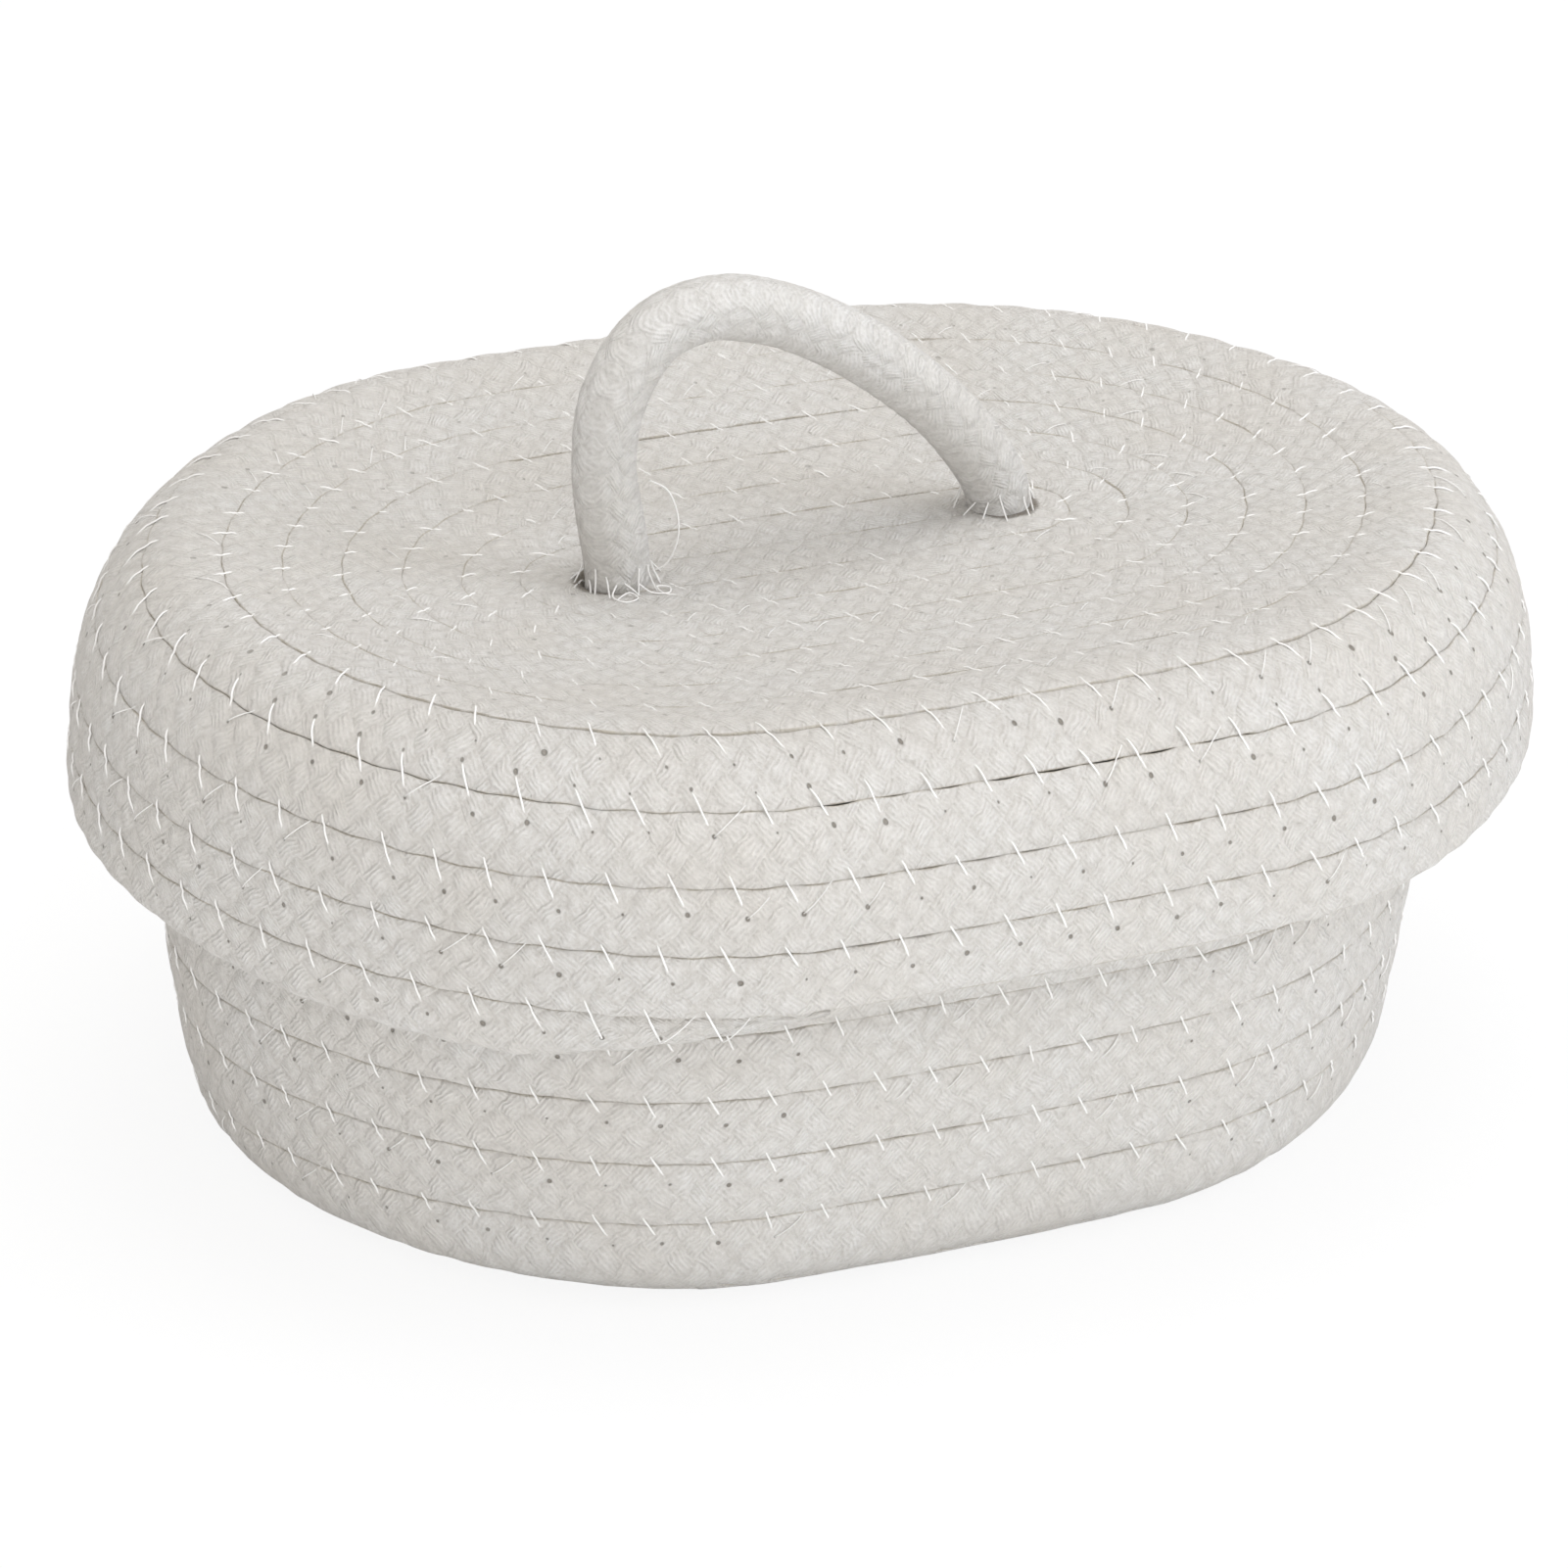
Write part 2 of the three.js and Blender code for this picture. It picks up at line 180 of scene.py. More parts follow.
class Coil:
    """One wound rope: its rows, its stations along the rope, and places on it.

    The outer face is on the side of the middle surface that side, 1 or -1, says. The first flat_laps
    laps lie flat, and the first coarse ones have longer steps.
    """

    def __init__(self, arcs, height, side, spine, bulge, seams, shift, flat_laps, coarse):
        self.arcs, self.height, self.side, self.spine, self.bulge = arcs, height, side, spine, bulge
        self.seams, self.laps, self.shift, self.lift = seams, len(seams) - 1, shift, 0.0
        self.flat_laps, self.coarse = flat_laps, coarse
        self.make_stations()

    def reach(self, level):
        return np.interp(level, np.arange(len(self.seams)), self.seams)

    def make_stations(self):
        spine, angle, level = [], [], []
        for lap in range(self.laps):
            size = profile(self.arcs, 0, self.reach(np.array([lap + 1.0])))[0][0]
            step = STEP * (COARSE if lap < self.coarse else 1)
            straight = max(int(self.spine / step), 6)
            turn = max(int(math.pi * (size + 5 * MM) / step), 14)
            t, s = np.arange(turn) / turn, np.arange(straight) / straight
            start = 360.0 * lap
            spine += [-1 + 2 * s, np.ones(turn), 1 - 2 * s, -np.ones(turn)]
            angle += [start - 90 + 0 * s, start - 90 + 180 * t, start + 90 + 0 * s, start + 90 + 180 * t]
            climb = t - 0.08 * np.sin(2 * np.pi * t)
            level += [lap + 0 * s, lap + 0 * t, lap + 0 * s, lap + climb]
        self.sp, self.an, self.lev = (np.concatenate(x) for x in (spine, angle, level))
        seam = self.place(self.sp, self.an, self.reach(self.lev), 0)
        self.length = np.r_[0, np.cumsum(np.linalg.norm(np.diff(seam, axis=0), axis=1))]
        outer = self.place(self.sp, self.an, self.reach(self.lev + 0.5), 0)
        self.rope_length = np.r_[0, np.cumsum(np.linalg.norm(np.diff(outer, axis=0), axis=1))]
        self.whole = np.arange(len(self.sp), dtype=float)

    def at_level(self, level):
        """Length along the rope's inner seam where it reaches a level."""
        return np.interp(level, self.lev, self.length)

    def station(self, index):
        """Spine side, angle and level at a fractional station index."""
        return tuple(np.interp(index, self.whole, x) for x in (self.sp, self.an, self.lev))

    def lap_index(self, turns):
        """Station index where the rope has gone so many laps, measured by angle."""
        rising = self.an + 1e-4 * self.whole / len(self.sp)
        return np.interp(360.0 * np.asarray(turns) - 90, rising, self.whole)

    def place(self, spine, angle, u, over, inset=0.0):
        """Points of the coil at u from the spine and over its middle surface."""
        r, z, heading = profile(self.arcs, self.height, u)
        r = r - self.side * over * np.sin(heading)
        z = z + self.side * over * np.cos(heading)
        a = np.radians(angle)
        x = spine * self.spine / 2 + inset + r * np.cos(a)
        share = x / np.maximum(np.abs(self.spine / 2 + r), 1e-6)
        y = r * np.sin(a) * (1 + self.bulge * (1 - np.clip(share, -1, 1) ** 2))
        return np.stack(np.broadcast_arrays(x + self.shift, y, z + self.lift), -1)


def face_height(t):
    """Height of a row's face over its middle surface, at t from -1 to 1 across it."""
    ts, hs = zip(*FACE)
    return np.interp(t, ts, np.array(hs) * MM)


def seam_places(flat_laps, flat_row, laps, row):
    """Distance from the spine to each seam between laps, with one lap to spare."""
    flat = np.arange(flat_laps + 1) * flat_row
    return np.r_[flat, flat[-1] + np.arange(1, laps + 2) * row]


class Stitching:
    """The stitches of a coil's seams on its outer face, each at a length along the seam."""

    def __init__(self, coil, begin, end, seed):
        draw = np.random.default_rng(seed)
        number = int(coil.length[-1] / STITCH_PITCH) + 2
        self.at = (np.arange(number) + 0.5) * STITCH_PITCH + draw.normal(0, STITCH_STRAY, number)
        self.lean = STITCH_LEAN + draw.normal(0, LEAN_STRAY, number)
        level = np.interp(self.at, coil.length, coil.lev)
        wide = (coil.side > 0) & (np.abs(level - LID_WIDE_SEAM) < 0.5) & (np.arange(number) > 0)
        self.up = np.where(wide, WIDE_UP, STITCH_UP) + draw.normal(0, REACH_STRAY, number)
        self.down = np.where(wide, WIDE_DOWN, STITCH_DOWN) + draw.normal(0, REACH_STRAY, number)
        self.wide = wide
        self.used = (self.at > begin) & (self.at < end)

    def phase(self, length, of_top):
        """Length along the seam counted in stitches, whole at each stitch's top or at its hole."""
        return np.interp(length, self.at + (0 if of_top else 1) * self.lean, np.arange(len(self.at)))

    def value(self, phase, values):
        """A value that each stitch has, carried over to any phase."""
        return np.interp(phase, np.arange(len(self.at)), values)


def seam_gap(coil, level):
    """Width of the gap between two rows at a level."""
    wide = np.exp(-((level - WIDE_GAP_LEVEL) / WIDE_GAP_SPREAD) ** 2)
    return ROW_GAP + (coil.side > 0) * WIDE_GAP * wide


def seam_wobble(length):
    """How far a seam wanders from its even place."""
    wave = SEAM_WAVE * np.cos(2 * np.pi * length / STITCH_PITCH)
    return wave + SEAM_DRIFT * smooth_noise(length / SEAM_DRIFT_LENGTH, SEED)


def rope_mesh(name, coil, stitches, end, low, high, inset):
    """The coil as one tube. low and high are the levels that it covers at each station."""
    index = np.arange(end)
    sp, an = coil.sp[index], coil.an[index]
    u_low = coil.reach(low) + seam_gap(coil, low) / 2
    u_high = coil.reach(high) - seam_gap(coil, high) / 2
    middle, half = (u_low + u_high) / 2, (u_high - u_low) / 2
    # a row that tapers is thinner too
    full = 0.4 + 0.6 * np.minimum(high - low, 1)
    length = coil.rope_length[index]
    outer, inner = np.array(FACE), np.array(INNER_FACE)
    t = np.r_[outer[:, 0], inner[::-1, 0]]
    outward = np.r_[np.ones(len(outer)), -np.ones(len(inner))]
    lying = np.clip(coil.flat_laps - low[:, None], 0, 1)
    flat = 1 - FLATTER * lying * (coil.side > 0)
    drop = (FACE_TOP - np.r_[outer[:, 1], inner[::-1, 1]]) * MM
    height = FACE_TOP * MM - drop[None] * np.where(drop[None] > DEEP_DROP, 1, flat)

    # the stitches of the seam on the row's near side, and of the next lap's on its far side
    seam_near = np.interp(index, coil.whole, coil.length)
    seam_far = np.interp(coil.lap_index((an + 90) / 360 + 1), coil.whole, coil.length)
    upper, lower = (seam_far, seam_near) if coil.side < 0 else (seam_near, seam_far)
    holes, tops = stitches.phase(upper, False), stitches.phase(lower, True)
    down, up = stitches.value(holes, stitches.down), stitches.value(tops, stitches.up)
    upper_edge = -coil.side
    from_upper = (1 - upper_edge * t[None]) * half[:, None]
    from_lower = (1 + upper_edge * t[None]) * half[:, None]
    u = middle[:, None] + half[:, None] * t[None]
    near, far = seam_wobble(seam_near)[:, None], seam_wobble(seam_far)[:, None]
    u = u + (1 - t[None]) / 2 * near + (1 + t[None]) / 2 * far
    near_hole = (0.5 + 0.5 * np.cos(2 * np.pi * holes[:, None])) ** 2
    near_top = (0.5 + 0.5 * np.cos(2 * np.pi * tops[:, None])) ** 2
    dip = near_hole * np.exp(-((from_upper - down[:, None]) / PUCKER_WIDTH) ** 2)
    pinch = near_top * np.exp(-((from_lower - PINCH_PLACE * up[:, None]) / PINCH_WIDTH) ** 2)
    uneven = SWELL * smooth_noise(length / SWELL_LENGTH, SEED + 5)[:, None]
    uneven = uneven + LUMPS * smooth_noise(length[:, None] / LUMP_LENGTH + 37 * t[None], SEED + 9)
    uneven = uneven - PUCKER * flat * (dip + PINCH * pinch)
    free = np.abs(t[None]) < 0.99
    over = outward[None] * (height * full[:, None] + free * uneven)
    # the far edge of the last lap is sewn to nothing: it is round, and not shaded as a seam
    bare = np.clip((low - low[-1] + 1) / 0.02, 0, 1)[:, None]
    past = np.clip((t[None] - RIM_ROUND) / (1 - RIM_ROUND), 0, 0.99)
    over = over * (1 - bare * (1 - np.sqrt(1 - past ** 2)))
    points = coil.place(sp[:, None], an[:, None], u, over, inset[:, None])
    points[..., 2] = np.maximum(points[..., 2], 0)
    mesh = tube_mesh(name, points, length, t[None] * (1 - 0.1 * bare * (t[None] > 0)))
    used = stitches.value(holes, stitches.used) > 0.5
    wide = stitches.value(tops, stitches.wide & stitches.used) > 0.5
    shown = (outward[None] > 0) * (1 - FLATTER * lying)
    point_attribute(mesh, "hole", holes[:, None], (from_upper - down[:, None]) / MM, shown * used[:, None])
    point_attribute(mesh, "top", tops[:, None], (from_lower - up[:, None]) / MM, shown * wide[:, None])
    return mesh


def point_attribute(mesh, name, *values):
    """A vector on each point of a tube's rings, with zeros on its end points."""
    shape = np.broadcast_shapes(*(np.shape(v) for v in values))
    data = np.zeros((len(mesh.vertices), 3), np.float32)
    for i, v in enumerate(values):
        data[:shape[0] * shape[1], i] = np.broadcast_to(v, shape).ravel()
    mesh.attributes.new(name, "FLOAT_VECTOR", "POINT").data.foreach_set("vector", data.ravel())


def tube_mesh(name, points, length, across):
    """A closed tube through rings of points, with UVs in metres along and from -1 to 1 across."""
    rings, sides = points.shape[:2]
    i, j = np.meshgrid(np.arange(rings - 1), np.arange(sides), indexing="ij")
    a = i * sides + j
    b = i * sides + (j + 1) % sides
    quads = np.stack([a, b, b + sides, a + sides], -1).reshape(-1, 4)
    verts = points.reshape(-1, 3)
    first, last = points[0].mean(0), points[-1].mean(0)
    verts = np.vstack([verts, first, last])
    n = rings * sides
    j = np.arange(sides)
    last_ring = (rings - 1) * sides
    caps = np.vstack([np.c_[(j + 1) % sides, j, np.full(sides, n)],
                      np.c_[last_ring + j, last_ring + (j + 1) % sides, np.full(sides, n + 1)]])
    mesh = mesh_from(name, verts, quads, caps)
    uv = np.zeros((len(verts), 2))
    uv[:n, 0] = np.repeat(length, sides)
    uv[:n, 1] = np.broadcast_to(across, (rings, sides)).ravel()
    uv[n] = (length[0], 0)
    uv[n + 1] = (length[-1], 0)
    layer = mesh.attributes.new("rope", "FLOAT2", "POINT")
    layer.data.foreach_set("vector", uv.astype(np.float32).ravel())
    return mesh


def mesh_from(name, verts, quads, tris=None):
    """A mesh with its faces pointing out, smooth shaded."""
    loops = quads.ravel()
    sizes = np.full(len(quads), 4)
    if tris is not None:
        loops = np.r_[loops, tris.ravel()]
        sizes = np.r_[sizes, np.full(len(tris), 3)]
    mesh = bpy.data.meshes.new(name)
    mesh.vertices.add(len(verts))
    mesh.vertices.foreach_set("co", np.asarray(verts, np.float32).ravel())
    mesh.loops.add(len(loops))
    mesh.loops.foreach_set("vertex_index", loops.astype(np.int32))
    mesh.polygons.add(len(sizes))
    mesh.polygons.foreach_set("loop_start", np.r_[0, np.cumsum(sizes)[:-1]].astype(np.int32))
    mesh.polygons.foreach_set("use_smooth", np.ones(len(sizes), bool))
    mesh.update(calc_edges=True)
    if signed_volume(mesh) < 0:
        mesh.flip_normals()
    mesh.validate()
    return mesh


def signed_volume(mesh):
    """Volume of a closed mesh, below 0 when its faces point in."""
    mesh.calc_loop_triangles()
    co = np.zeros(len(mesh.vertices) * 3)
    mesh.vertices.foreach_get("co", co)
    tri = np.zeros(len(mesh.loop_triangles) * 3, np.int32)
    mesh.loop_triangles.foreach_get("vertices", tri)
    p = co.reshape(-1, 3)[tri.reshape(-1, 3)]
    return float(np.einsum("ij,ij->i", p[:, 0], np.cross(p[:, 1], p[:, 2])).sum() / 6)


def add_piece(name, mesh, body, nodes, material):
    """A visible piece that rides on a body in the place of its nodes."""
    piece = bpy.data.objects.new(name, mesh)
    bpy.context.scene.collection.objects.link(piece)
    mesh.materials.append(material)
    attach(piece, body)
    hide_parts(*nodes)
    return piece


# Materials

def node_material(name):
    material = bpy.data.materials.new(name)
    material.use_nodes = True
    tree = material.node_tree
    return material, tree, tree.nodes["Principled BSDF"]


def add_node(tree, kind, values=None, **settings):
    node = tree.nodes.new(kind)
    for key, value in settings.items():
        setattr(node, key, value)
    for key, value in (values or {}).items():
        if isinstance(value, bpy.types.NodeSocket):
            tree.links.new(value, node.inputs[key])
        else:
            node.inputs[key].default_value = value
    return node


def maths(tree, operation, a, b=0.0, c=0.0):
    node = tree.nodes.new("ShaderNodeMath")
    node.operation = operation
    for socket, value in zip(node.inputs, (a, b, c)):
        if isinstance(value, bpy.types.NodeSocket):
            tree.links.new(value, socket)
        else:
            socket.default_value = value
    return node.outputs[0]


def noise(tree, space, scale, detail, roughness=0.5):
    values = {"Vector": space, "Scale": scale, "Detail": detail, "Roughness": roughness}
    return add_node(tree, "ShaderNodeTexNoise", values).outputs["Fac"]


def ramp(tree, value, start, end, low=0.0, high=1.0, smooth=False):
    """low where value is at start, high where it is at end, and held past both."""
    values = {"Value": value, "From Min": start, "From Max": end, "To Min": low, "To Max": high}
    kind = "SMOOTHSTEP" if smooth else "LINEAR"
    return add_node(tree, "ShaderNodeMapRange", values, interpolation_type=kind).outputs[0]


def mixed(tree, fac, a, b):
    node = tree.nodes.new("ShaderNodeMix")
    node.data_type = "RGBA"
    for socket, value in ((node.inputs[0], fac), (node.inputs[6], a), (node.inputs[7], b)):
        if isinstance(value, bpy.types.NodeSocket):
            tree.links.new(value, socket)
        else:
            socket.default_value = value
    return node.outputs[2]


def srgb(r, g, b):
    def linear(c):
        c /= 255
        return c / 12.92 if c <= 0.04045 else ((c + 0.055) / 1.055) ** 2.4
    return (linear(r), linear(g), linear(b), 1)


def cotton_rope(name, light, shade_colour, warm, groove, holes=True, shaded_feet=()):
    """Soft braided cotton: slanting yarns half lost in fuzz, with painted shade between yarns, between
    bundles, in the seams, in the needle holes and round the handle's feet.
    """
    material, tree, shader = node_material(name)
    at = add_node(tree, "ShaderNodeAttribute", attribute_name="rope")
    split = add_node(tree, "ShaderNodeSeparateXYZ", {"Vector": at.outputs["Vector"]})
    along, across = split.outputs[0], split.outputs[1]
    space = add_node(tree, "ShaderNodeTexCoord").outputs["Object"]
    soft = noise(tree, space, 38.0, 4.0)
    bend, lost = noise(tree, space, 160.0, 2.0), noise(tree, space, 210.0, 2.0)
    fuzz, fleck = noise(tree, space, 900.0, 6.0, 0.75), noise(tree, space, 1900.0, 2.0)

    # two sets of bundles of yarns that cross, each one showing in every other diamond
    moved = maths(tree, "MULTIPLY_ADD", bend, BEND, along)
    climb = maths(tree, "MULTIPLY", across, SLANT)
    sets = maths(tree, "ADD", moved, climb), maths(tree, "SUBTRACT", moved, climb)
    cells = [maths(tree, "SINE", maths(tree, "MULTIPLY", way, math.pi / BUNDLE)) for way in sets]
    yarns = [maths(tree, "SINE", maths(tree, "MULTIPLY", way, 2 * math.pi / YARN)) for way in sets]
    diamond = maths(tree, "MULTIPLY", *cells)
    which = ramp(tree, diamond, -0.12, 0.12, smooth=True)
    line = add_node(tree, "ShaderNodeMix", {0: which, 2: yarns[1], 3: yarns[0]}).outputs[0]
    line = maths(tree, "MULTIPLY_ADD", line, 0.5, 0.5)
    line = maths(tree, "MULTIPLY", line, ramp(tree, lost, 0.35, 0.65, 0.3, 1.0))
    swell = maths(tree, "ABSOLUTE", diamond)
    height = maths(tree, "MULTIPLY_ADD", line, 0.6, maths(tree, "MULTIPLY", fuzz, 2.1))
    height = maths(tree, "MULTIPLY_ADD", swell, 2.4, height)

    base = mixed(tree, ramp(tree, soft, 0.35, 0.7), light, warm)
    # painted shade between the yarns and at the edges of the bundles, with random darker fuzz mixed in
    shade = maths(tree, "MULTIPLY", maths(tree, "SUBTRACT", 1.0, line), 0.36)
    shade = maths(tree, "MULTIPLY_ADD", ramp(tree, fuzz, 0.62, 0.36), 0.5, shade)
    shade = maths(tree, "MULTIPLY_ADD", maths(tree, "SUBTRACT", 1.0, swell), 0.22, shade)
    base = mixed(tree, shade, base, shade_colour)
    speck = ramp(tree, fleck, 0.71, 0.76)
    base = mixed(tree, maths(tree, "MULTIPLY", speck, 0.4), base, groove)
    # painted shade in the grooves between rows, in the groove colour, broken up by noise
    seam = ramp(tree, maths(tree, "ABSOLUTE", across), 0.955, 0.995, smooth=True)
    broken = ramp(tree, lost, 0.38, 0.55, 0.1, 0.95)
    base = mixed(tree, maths(tree, "MULTIPLY", seam, broken), base, groove)
    if holes:
        pit = maths(tree, "MAXIMUM", needle_hole(tree, "hole"), needle_hole(tree, "top"))
        # the needle holes get painted shade, a dark brown, besides their dent in the bump
        base = mixed(tree, maths(tree, "MULTIPLY", pit, 0.72), base, srgb(104, 94, 78))
        height = maths(tree, "MULTIPLY_ADD", pit, -1.6, height)
    # painted shade: a dark brown ring round each foot of the handle, where it goes into the lid
    for x, y in shaded_feet:
        place = add_node(tree, "ShaderNodeVectorMath", {0: space, 1: (1, 1, 0)}, operation="MULTIPLY")
        values = {0: place.outputs[0], 1: (x, y, 0)}
        away = add_node(tree, "ShaderNodeVectorMath", values, operation="DISTANCE").outputs["Value"]
        away = maths(tree, "MULTIPLY_ADD", fuzz, 2 * MM, away)
        gap = ramp(tree, away, 9.4 * MM, 7.8 * MM, smooth=True)
        base = mixed(tree, maths(tree, "MULTIPLY", gap, 0.8), base, srgb(96, 84, 66))
    bump = add_node(tree, "ShaderNodeBump", {"Height": height, "Strength": 0.85, "Distance": 0.6 * MM})
    tree.links.new(base, shader.inputs["Base Color"])
    tree.links.new(bump.outputs["Normal"], shader.inputs["Normal"])
    rough = maths(tree, "MULTIPLY_ADD", fuzz, 0.12, 0.84)
    tree.links.new(rough, shader.inputs["Roughness"])
    shader.inputs["Sheen Weight"].default_value = 0.25
    shader.inputs["Sheen Roughness"].default_value = 0.5
    shader.inputs["Specular IOR Level"].default_value = 0.2
    return material


def needle_hole(tree, attribute):
    """1 in the needle holes, from their phase along the seam and their distance across it in mm."""
    at = add_node(tree, "ShaderNodeAttribute", attribute_name=attribute)
    split = add_node(tree, "ShaderNodeSeparateXYZ", {"Vector": at.outputs["Vector"]})
    phase, apart, shown = split.outputs
    whole = maths(tree, "ROUND", phase)
    s = maths(tree, "MULTIPLY", maths(tree, "SUBTRACT", phase, whole), STITCH_PITCH / MM)
    size = add_node(tree, "ShaderNodeTexWhiteNoise", {"W": whole}, noise_dimensions="1D").outputs["Value"]
    radius = maths(tree, "MULTIPLY_ADD", size, 0.38, 0.04)
    square = maths(tree, "ADD", maths(tree, "MULTIPLY", s, s), maths(tree, "MULTIPLY", apart, apart))
    edge = maths(tree, "SUBTRACT", maths(tree, "SQRT", square), radius)
    pit = ramp(tree, edge, 0.22, 0.0, smooth=True)
    return maths(tree, "MULTIPLY", pit, shown)


def thread_material(name, colour):
    """Pale twisted thread."""
    material, tree, shader = node_material(name)
    space = add_node(tree, "ShaderNodeTexCoord").outputs["Object"]
    twist = noise(tree, space, 2500.0, 2.0)
    base = mixed(tree, twist, colour, srgb(234, 232, 228))
    bump = add_node(tree, "ShaderNodeBump", {"Height": twist, "Strength": 0.4, "Distance": 0.2 * MM})
    tree.links.new(base, shader.inputs["Base Color"])
    tree.links.new(bump.outputs["Normal"], shader.inputs["Normal"])
    shader.inputs["Roughness"].default_value = 0.5
    shader.inputs["Sheen Weight"].default_value = 0.2
    return material


# Basket and lid ropes

basket_seams = seam_places(FLOOR_LAPS, FLOOR_ROW, WALL_LAPS, WALL_ROW)
basket_seams[FLOOR_LAPS] -= CORNER_SEAM
basket = Coil(BASKET_ARCS, BASKET_HEIGHT, -1, BASKET_SPINE, BASKET_BULGE, basket_seams, BASKET_SHIFT,
              flat_laps=FLOOR_LAPS, coarse=FLOOR_LAPS - 1)
lid_seams = seam_places(TOP_LAPS, TOP_ROW, SKIRT_LAPS, SKIRT_ROW)
lid = Coil(LID_ARCS, 0.0, 1, LID_SPINE, LID_BULGE, lid_seams, LID_SHIFT, flat_laps=TOP_LAPS, coarse=0)
crown = lid.place(1, 0, np.linspace(60, 100, 400) * MM, THICKNESS / 2)[:, 2].max()
lid.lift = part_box("lid_coil")[1].z - crown
basket_laps, lid_laps = FLOOR_LAPS + WALL_LAPS, TOP_LAPS + SKIRT_LAPS
basket_end = int(np.searchsorted(basket.lev, basket_laps - 1 + RIM_TAPER_END))
lid_end = int(np.searchsorted(lid.lev, lid_laps - 1e-6)) + 1
basket_sewing = Stitching(basket, basket.at_level(FLOOR_LAPS + 0.1), basket.at_level(basket_laps - 0.35),
                          SEED + 20)
lid_sewing = Stitching(lid, lid.at_level(0.35), lid.length[lid_end] - LID_UNSEWN, SEED + 22)

LEFT_FOOT = np.array([-LID_SPINE / 2 + LID_SHIFT, -TOP_ROW / 2, lid.lift])
RIGHT_FOOT = np.array([LID_SPINE / 2 + LID_SHIFT - 2 * MM, 3 * MM, lid.lift])
# Centres of the painted shade in the lid's rope round the handle's feet
FOOT_GAP_SHADES = ((LEFT_FOOT[0] - 1.6 * MM, LEFT_FOOT[1] + 0.6 * MM),
             (RIGHT_FOOT[0] + 1.2 * MM, RIGHT_FOOT[1] - 1.0 * MM))

# Colours of the cotton, of its painted shade and of its warm patches; the colour after them is painted shade
# in the seams and the colour of the flecks
COTTON = srgb(242, 240, 237), srgb(206, 201, 194), srgb(236, 231, 224)
cotton = cotton_rope("cotton_rope", *COTTON, srgb(203, 196, 184))
cotton_lid = cotton_rope("cotton_rope_lid", *COTTON, srgb(198, 190, 176), shaded_feet=FOOT_GAP_SHADES)
thread = thread_material("sewing_thread", srgb(242, 240, 238))


def basket_rope():
    low = basket.lev[:basket_end].copy()
    high = np.minimum(low + 1, basket_laps)
    inset = np.zeros(basket_end)
    lead = BASKET_START_RINGS
    inset[:lead] = np.linspace(*BASKET_START, lead)
    start = np.linspace(BASKET_START_SHARE, 1, lead)
    low[:lead], high[:lead] = 0.5 - start / 2, 0.5 + start / 2
    mesh = rope_mesh("basket_rope", basket, basket_sewing, basket_end, low, high, inset)
    add_piece("basket_rope", mesh, "basket", ["basket_coil"], cotton)


def lid_rope():
    low = lid.lev[:lid_end].copy()
    high = low + np.interp(low - (lid_laps - 1), [LID_TAPER_START, 1], [1, LID_TIP_SHARE])
    inset = np.zeros(lid_end)
    inset[:LID_START_RINGS] = LID_START * (1 - np.arange(LID_START_RINGS) / LID_START_RINGS)
    mesh = rope_mesh("lid_rope", lid, lid_sewing, lid_end, low, high, inset)
    add_piece("lid_rope", mesh, "lid", ["lid_coil"], cotton_lid)


basket_rope()
lid_rope()


# Stitches

def strand(points, radius, sides=4):
    """Rings of points of a thin tube along a path."""
    d = np.gradient(points, axis=0)
    d /= np.linalg.norm(d, axis=1)[:, None] + 1e-12
    ref = np.array([0.0, 0.0, 1.0]) if abs(d[:, 2].mean()) < 0.9 else np.array([1.0, 0.0, 0.0])
    a = np.cross(d, ref)
    a /= np.linalg.norm(a, axis=1)[:, None] + 1e-12
    b = np.cross(d, a)
    angle = 2 * np.pi * np.arange(sides) / sides
    ring = a[:, None] * np.cos(angle)[None, :, None] + b[:, None] * np.sin(angle)[None, :, None]
    return points[:, None] + np.asarray(radius).reshape(-1, 1, 1) * ring


def tubes_mesh(name, tubes):
    """One mesh of many closed tubes, each an array of rings of points."""
    verts, quads, tris, count = [], [], [], 0
    for rings in tubes:
        n, sides = rings.shape[:2]
        i, j = np.meshgrid(np.arange(n - 1), np.arange(sides), indexing="ij")
        a = count + i * sides + j
        b = count + i * sides + (j + 1) % sides
        quads.append(np.stack([a, b, b + sides, a + sides], -1).reshape(-1, 4))
        j = np.arange(1, sides - 1)
        last = count + (n - 1) * sides
        tris.append(np.c_[np.full(len(j), count), count + j + 1, count + j])
        tris.append(np.c_[np.full(len(j), last), last + j, last + j + 1])
        verts.append(rings.reshape(-1, 3))
        count += n * sides
    return mesh_from(name, np.vstack(verts), np.vstack(quads), np.vstack(tris))


def strand_on(coil, start, end, face, radius, ends, draw):
    """A thread over a seam, on the outer face, 1, or the inner one, -1.

    start and end are each a length along the seam and a distance over it. The thread sinks in by ends
    mm, a little where it starts and more past its middle.
    """
    k = np.linspace(0, 1, 11)
    s = start[0] + (end[0] - start[0]) * k
    v = start[1] + (end[1] - start[1]) * k
    sp, an, lev = coil.station(np.interp(s, coil.length, coil.whole))
    row = np.interp(np.floor(lev) + (v > 0), np.arange(len(coil.seams) - 1), np.diff(coil.seams))
    t = np.clip(1 - 2 * np.abs(v) / row, -1, 1)
    groove = 5.75 * MM if face > 0 else 5.4 * MM
    h = np.maximum(face_height(np.abs(t)), groove)
    away = np.abs(k - 0.5) * 2
    h = h + (0.10 + 0.12 * (1 - away ** 2)) * MM
    h = h - ends * MM * (np.clip(1 - k / 0.25, 0, 1) ** 2 + np.clip((k - 0.45) / 0.3, 0, 1.4))
    h = h + 0.05 * MM * smooth_noise(k * 2 + draw.uniform(0, 99), SEED)
    points = coil.place(sp, an, coil.reach(lev) + v, face * h)
    return strand(points, radius * MM * (1 - 0.25 * away ** 3))


